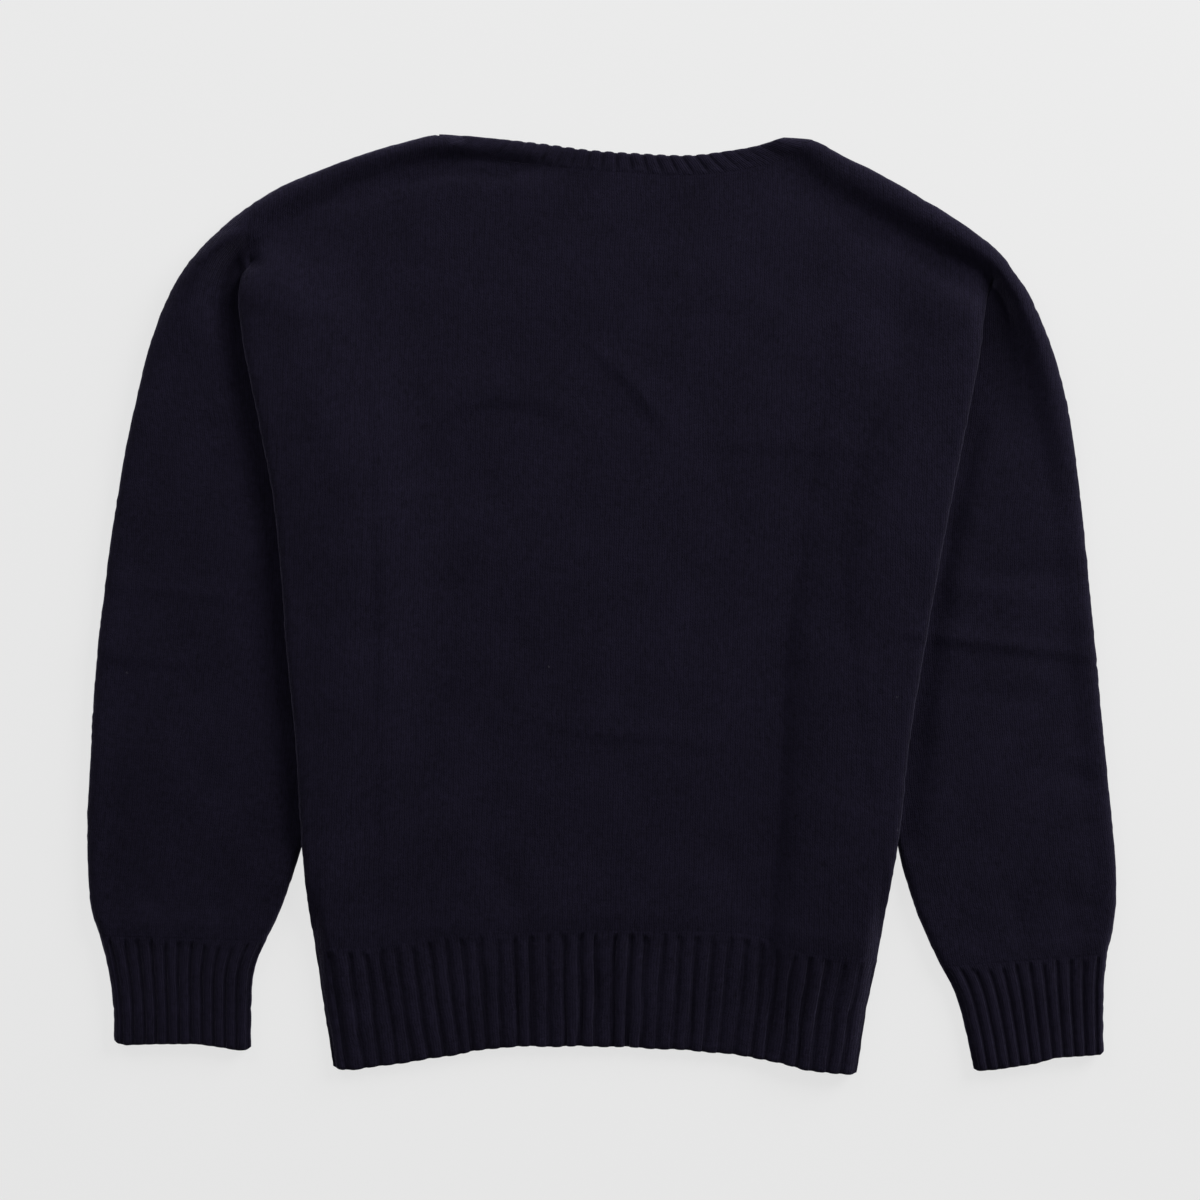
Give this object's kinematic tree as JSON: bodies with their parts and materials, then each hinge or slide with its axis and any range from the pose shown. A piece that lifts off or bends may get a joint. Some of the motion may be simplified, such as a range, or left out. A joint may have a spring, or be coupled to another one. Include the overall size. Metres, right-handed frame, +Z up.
{
  "type": "rib-trimmed crew-neck pullover, laid flat",
  "caption": "Knitted wool pullover laid flat with its back up: wide crew neck, sleeves brought down beside the body, ribbed neckband, cuffs and hem.",
  "frame": {"origin": "middle of the garment's footprint, on the surface that it lies on", "axes": "+X across the garment towards the sleeve at the picture's right, +Y from hem to neck, +Z up off the surface"},
  "size_m": [0.6696, 0.6122, 0.0138],
  "materials": {
    "jersey": "matt brushed wool jersey, very dark navy",
    "rib": "matt wool 2x1 rib, very dark navy"
  },
  "bodies": {
    "root": {"back_panel": "jersey", "front_panel": "jersey", "sleeve_left": "jersey", "sleeve_right": "jersey", "cuff_rib_left": "rib", "cuff_rib_right": "rib", "hem_rib_back": "rib", "hem_rib_front": "rib", "neckband_rib": "rib"}
  },
  "joints": []
}
